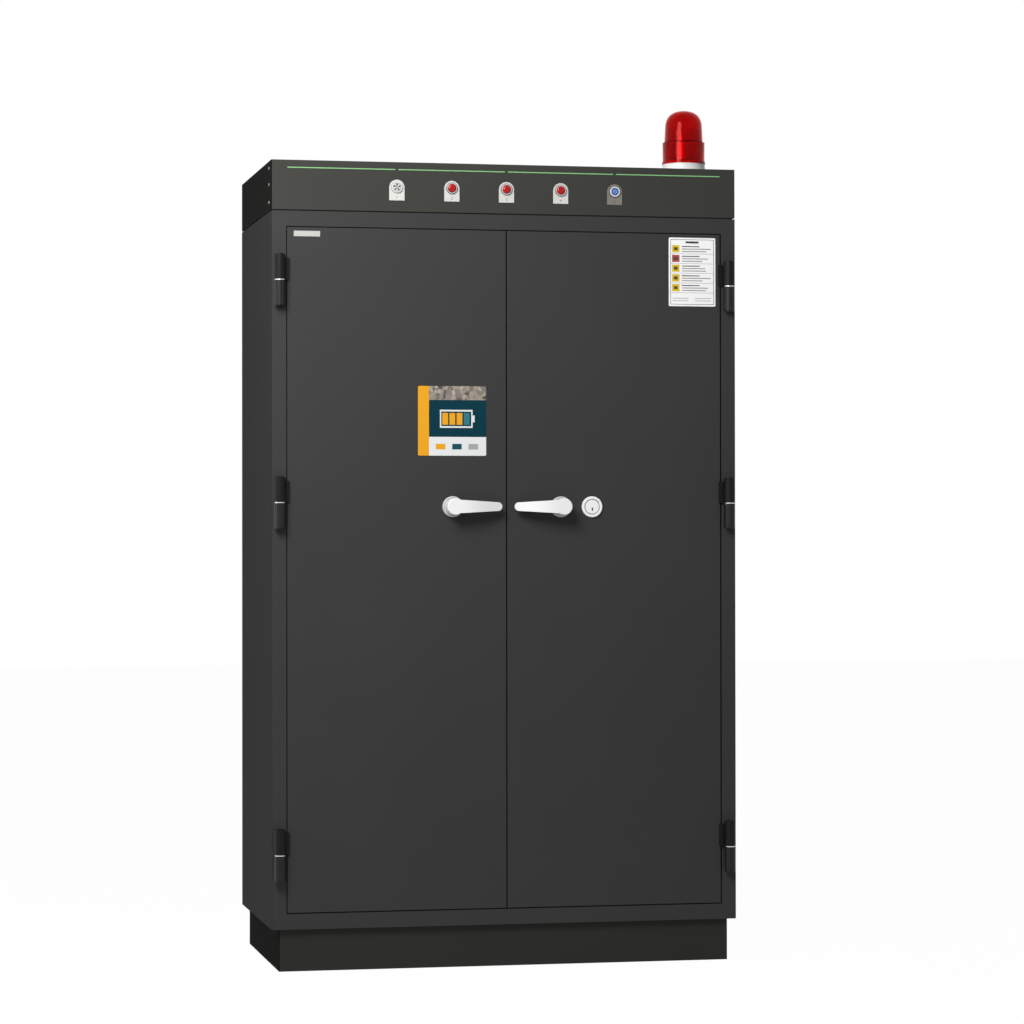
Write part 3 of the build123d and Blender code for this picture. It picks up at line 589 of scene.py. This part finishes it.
def card(name, sheet):
    # a thin closed card on the door: rings of a superellipse outline, sixtieth power,
    # shrink from rim to middle, front then back
    angle = np.linspace(0, 2 * math.pi, 96, endpoint=False)
    rim = np.stack([np.cos(angle), np.sin(angle)])
    rim = np.sign(rim) * np.abs(rim) ** (2 / 60)
    shrink = np.array([0.0, 0.5, 0.985, 1.0, 1.0, 0.985, 0.5, 0.0])
    depth = np.array([0.0, 0.0, 0.0, 0.15, 0.85, 1.0, 1.0, 1.0]) * sheet["thick"]
    x = sheet["centre"][0] + rim[0][None, :] * shrink[:, None] * sheet["width"] / 2
    z = sheet["centre"][1] + rim[1][None, :] * shrink[:, None] * sheet["height"] / 2
    y = doorFace - sheet["thick"] + np.broadcast_to(depth[:, None], x.shape)
    return tidyMesh(gridMesh(name, np.stack([x, y, z], axis=2), closeV=True))


def across(ink, sheet):
    # u and v run from 0 to 1 over the sheet, from its lower left corner
    x, z = ink.xyz()[::2]
    u = (x - (sheet["centre"][0] - sheet["width"] / 2)) / sheet["width"]
    v = (z - (sheet["centre"][1] - sheet["height"] / 2)) / sheet["height"]
    return u, v


def patch(u, v, left, right, low, high):
    return band(u, left, right) * band(v, low, high)


def posterPrint(name):
    # amber column, mottled strip along the top, petrol field with a plain cell, pale foot with three blocks
    ink = Finish(name, Specular_IOR_Level=0.08)
    u, v = across(ink, poster)
    paper = ink.noise(300.0, 3.0)
    page = ink.mix(paper, (0.60, 0.61, 0.61), (0.66, 0.67, 0.67))
    field = ink.mix(paper, (0.0015, 0.026, 0.040), (0.002, 0.032, 0.048))
    page = ink.mix(v > poster["footTo"], page, field)
    cell, hollow, nub = (patch(u, v, *poster[key]) for key in ("cell", "hollow", "nub"))
    page = ink.mix((cell - hollow + nub).clipped(), page, (0.60, 0.62, 0.62))
    for step, tone in enumerate((amber, amber, amber, (0.03, 0.15, 0.19))):
        left = poster["barsFrom"] + step * poster["barPitch"]
        page = ink.mix(patch(u, v, left, left + poster["barWidth"], *poster["barRise"]), page, tone)
    patches = ink.node("ShaderNodeTexVoronoi", {}, {"Vector": ink.place, "Scale": 105.0}, output=1)
    tint = ink.node("ShaderNodeSeparateColor", {}, {0: patches})
    mottle = ink.mix(tint, (0.07, 0.065, 0.07), (0.42, 0.36, 0.29))
    page = ink.mix(v > poster["stripFrom"], page, mottle)
    page = ink.mix(u < poster["columnTo"], page, amber)
    for left, tone in zip(poster["blocksFrom"], (amber, (0.01, 0.06, 0.085), (0.30, 0.31, 0.32))):
        page = ink.mix(patch(u, v, left, left + poster["blockWidth"], *poster["blockRise"]), page, tone)
    ink.feed("Base Color", page)
    ink.feed("Roughness", 0.28 + paper * 0.12)
    return ink.mat


def noticePrint(name):
    # a plain sheet with a thin frame, square bullets and grey rows
    ink = Finish(name, Specular_IOR_Level=0.08)
    u, v = across(ink, notice)
    paper = ink.noise(280.0, 3.0)
    page = ink.mix(paper, grey(0.80), grey(0.86))
    rim, field, title = (patch(u, v, *notice[key]) for key in ("rim", "field", "title"))
    page = ink.mix((rim - field).clipped(), page, grey(0.05))
    page = ink.mix(title, page, grey(0.05))
    for row in range(notice["rows"]):
        top = notice["rowsFrom"] - row * notice["rowPitch"]
        tone = (0.62, 0.44, 0.02) if row != 1 else (0.36, 0.07, 0.07)
        page = ink.mix(patch(u, v, 0.07, 0.23, top - 0.105, top), page, tone)
        page = ink.mix(patch(u, v, 0.11, 0.19, top - 0.075, top - 0.03), page, (0.07, 0.06, 0.04))
        page = ink.mix(patch(u, v, *notice["field"][:2], top - 0.128, top - 0.122), page, grey(0.30))
        for line, right in enumerate((0.66, 0.90 - 0.06 * (row % 3), 0.80 - 0.08 * (row % 2))):
            height = top - 0.012 - line * notice["linePitch"]
            level = 0.06 if line == 0 else 0.26
            page = ink.mix(patch(u, v, 0.28, right, height - notice["lineHigh"], height), page, grey(level))
    for left in notice["footFrom"]:
        for line in range(2):
            height = notice["footRise"] - line * notice["footPitch"]
            page = ink.mix(patch(u, v, left, left + 0.34, height - 0.009, height), page, grey(0.3))
    ink.feed("Base Color", page)
    ink.feed("Roughness", 0.35 + paper * 0.15)
    return ink.mat


badgeFace = smoothCoat("badgeFace", (0.36, 0.355, 0.33), (0.43, 0.425, 0.40), 0.3, sheen=0.1)
for name, sheet, finish, body in (
    ("poster_card", poster, posterPrint("posterPrint"), "door_left"),
    ("notice_card", notice, noticePrint("noticePrint"), "door_right"),
    ("blank_badge", badge, badgeFace, "door_left"),
):
    finishWith(card(name, sheet), finish, body)
print("cards placed")

# numbers on the legend plates
numeral = {"size": 9.5 * mm, "thick": 0.15 * mm, "rise": 4.2 * mm, "plates": 5, "plateWidth": 39.0 * mm}
inkBlack = smoothCoat("inkBlack", grey(0.02), grey(0.03), 0.4)
plateLow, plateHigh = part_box("legend_plates")
pitch = (plateHigh.x - plateLow.x - numeral["plateWidth"]) / (numeral["plates"] - 1)
for count in range(numeral["plates"]):
    words = bpy.data.curves.new("plateNumber", "FONT")
    words.body = str(count + 1)
    words.size = numeral["size"]
    words.extrude = numeral["thick"] / 2
    words.align_x = "CENTER"
    words.resolution_u = 3
    loose = bpy.data.objects.new("looseNumber", words)
    bpy.context.scene.collection.objects.link(loose)
    bpy.context.view_layer.update()
    mesh = bpy.data.meshes.new_from_object(loose)
    bpy.data.objects.remove(loose)
    x = plateLow.x + numeral["plateWidth"] / 2 + count * pitch
    spot = Vector((x, plateLow.y - numeral["thick"] / 2, plateLow.z + numeral["rise"]))
    mesh.transform(Matrix.Translation(spot) @ Matrix.Rotation(math.pi / 2, 4, "X"))
    piece = bpy.data.objects.new(f"plate_number_{count + 1}", mesh)
    bpy.context.scene.collection.objects.link(piece)
    finishWith(piece, inkBlack, "cabinet")
print("plate numbers set")

# ribbed sleeve inside the beacon's lens
sleeve = {
    "collar": 51.0 * mm,
    "neck": 44.6 * mm,
    "wall": 1.2 * mm,
    "ribs": 22,
    "ribDepth": 1.5 * mm,
    "lift": 0.5 * mm,
    "step": 52.0 * mm,
    "slope": 1.5 * mm,
    "rise": 86.0 * mm,
}
skirt = {
    "outer": 56.5 * mm,
    "inner": 56.05 * mm,
    "seat": 55.1 * mm,
    "lip": 0.4 * mm,
    "low": 2059.6 * mm,
    "high": 2065.7 * mm,
}
lensLow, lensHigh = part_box("beacon_lens")
beaconMiddle = (lensLow + lensHigh) / 2


def turnedPiece(name, loop, ribs=0, ribDepth=0.0, steps=260):
    # a closed profile turned about the beacon's axis; ribs cut into its outer wall by
    # depth x |sine of half ribs x angle|
    angle = np.linspace(0, 2 * math.pi, steps, endpoint=False)
    fluted = ribDepth * np.abs(np.sin(angle * ribs / 2))
    rings = []
    for radius, z, outside in loop:
        reach = radius - fluted * outside
        x, y = beaconMiddle.x + reach * np.cos(angle), beaconMiddle.y + reach * np.sin(angle)
        rings.append(np.stack([x, y, np.full_like(angle, z)], axis=1))
    return tidyMesh(gridMesh(name, np.stack(rings), closeU=True, closeV=True))


base, step, top = (lensLow.z + sleeve[key] for key in ("lift", "step", "rise"))
bite = sleeve["wall"] + sleeve["ribDepth"]
collarIn, neckIn = sleeve["collar"] - bite, sleeve["neck"] - bite
sleeveLoop = [
    (sleeve["collar"], base, 1),
    (sleeve["collar"], step - sleeve["slope"], 1),
    (sleeve["neck"], step, 1),
    (sleeve["neck"], top, 1),
    (neckIn, top, 0),
    (neckIn, step - sleeve["slope"], 0),
    (collarIn, step - 2 * sleeve["slope"], 0),
    (collarIn, base, 0),
]
ribPiece = turnedPiece("beacon_ribs", sleeveLoop, sleeve["ribs"], sleeve["ribDepth"])
finishWith(ribPiece, clearRed("ribRed", (0.90, 0.0, 0.0004), 0.85, 0.04), "cabinet")
skirtLoop = [
    (skirt["outer"], skirt["low"], 0),
    (skirt["outer"], skirt["high"], 0),
    (skirt["seat"], skirt["high"], 0),
    (skirt["seat"], skirt["high"] - skirt["lip"], 0),
    (skirt["inner"], skirt["high"] - skirt["lip"], 0),
    (skirt["inner"], skirt["low"], 0),
]
skirtPiece = turnedPiece("beacon_skirt", skirtLoop, steps=128)
finishWith(skirtPiece, clearRed("skirtRed", (0.45, 0.0, 0.0004), 0.2), "cabinet")
print("beacon sleeve made")

# stage, light and camera
studio = {"floorSize": 40.0, "floorTone": 0.9, "floorGlow": 0.98, "worldLevel": 0.20}
keyLamp = {"place": (-1.5, -2.3, 2.9), "target": (-0.1, 0.0, 1.3), "size": 1.4, "power": 114.0}
fillLamp = {"place": (-5.0, -0.5, 1.4), "target": (-0.6, 0.0, 1.0), "size": 2.0, "power": 46.0}


def seenOutright(tree):
    # 1 for rays from the camera, from a mirror or through clear plastic, 0 for those that light the object
    path = tree.nodes.new("ShaderNodeLightPath").outputs
    camera, glossy, through = (
        Sock(tree, path[kind]) for kind in ("Is Camera Ray", "Is Glossy Ray", "Is Transmission Ray")
    )
    return (camera + glossy + through).clipped()


def whiteStage(name):
    stage = Finish(name, Roughness=1.0, Specular_IOR_Level=0.0)
    stage.feed("Base Color", (*grey(studio["floorTone"]), 1.0))
    glow = stage.node("ShaderNodeEmission", {}, {"Color": (1.0, 1.0, 1.0, 1.0), "Strength": 1.0})
    stage.blend(seenOutright(stage.tree) * studio["floorGlow"], stage.own, glow)
    return stage.mat


span = np.linspace(-studio["floorSize"] / 2, studio["floorSize"] / 2, 5)
floorX, floorY = np.meshgrid(span, span, indexing="ij")
floor = gridMesh("floor", np.stack([floorX, floorY, np.zeros_like(floorX)], axis=2))
floor.data.flip_normals()
floor.data.materials.append(whiteStage("whiteStage"))

world = bpy.data.worlds.new("studioWorld")
bpy.context.scene.world = world
world.use_nodes = True
sky = world.node_tree
strength = seenOutright(sky) * (1.0 - studio["worldLevel"]) + studio["worldLevel"]
sky.nodes["Background"].inputs["Color"].default_value = (1.0, 1.0, 1.0, 1.0)
sky.links.new(strength.out, sky.nodes["Background"].inputs["Strength"])


def areaLamp(name, settings):
    lamp = bpy.data.lights.new(name, "AREA")
    lamp.shape = "RECTANGLE"
    lamp.size = lamp.size_y = settings["size"]
    lamp.energy = settings["power"]
    holder = bpy.data.objects.new(name, lamp)
    aim = Vector(settings["target"]) - Vector(settings["place"])
    holder.location = settings["place"]
    holder.rotation_euler = aim.to_track_quat("-Z", "Y").to_euler()
    bpy.context.scene.collection.objects.link(holder)


areaLamp("keyLamp", keyLamp)
areaLamp("fillLamp", fillLamp)

shot = {"place": (-1.6748, -8.4092, 1.0735), "turn": 11.7606, "tilt": 0.5297, "roll": -0.0697, "lens": 114.81}
sensorWidth, clipEnd = 36.0, 100.0
camera = bpy.data.cameras.new("shotCamera")
camera.lens = shot["lens"]
camera.sensor_width = sensorWidth
camera.clip_end = clipEnd
holder = bpy.data.objects.new("shotCamera", camera)
turn = Matrix.Rotation(-math.radians(shot["turn"]), 4, "Z")
tilt = Matrix.Rotation(math.radians(90 + shot["tilt"]), 4, "X")
roll = Matrix.Rotation(math.radians(shot["roll"]), 4, "Z")
holder.matrix_world = Matrix.Translation(shot["place"]) @ turn @ tilt @ roll
bpy.context.scene.collection.objects.link(holder)
bpy.context.scene.camera = holder
bpy.context.scene.view_settings.view_transform = "Standard"
print("stage, lamps and camera set")
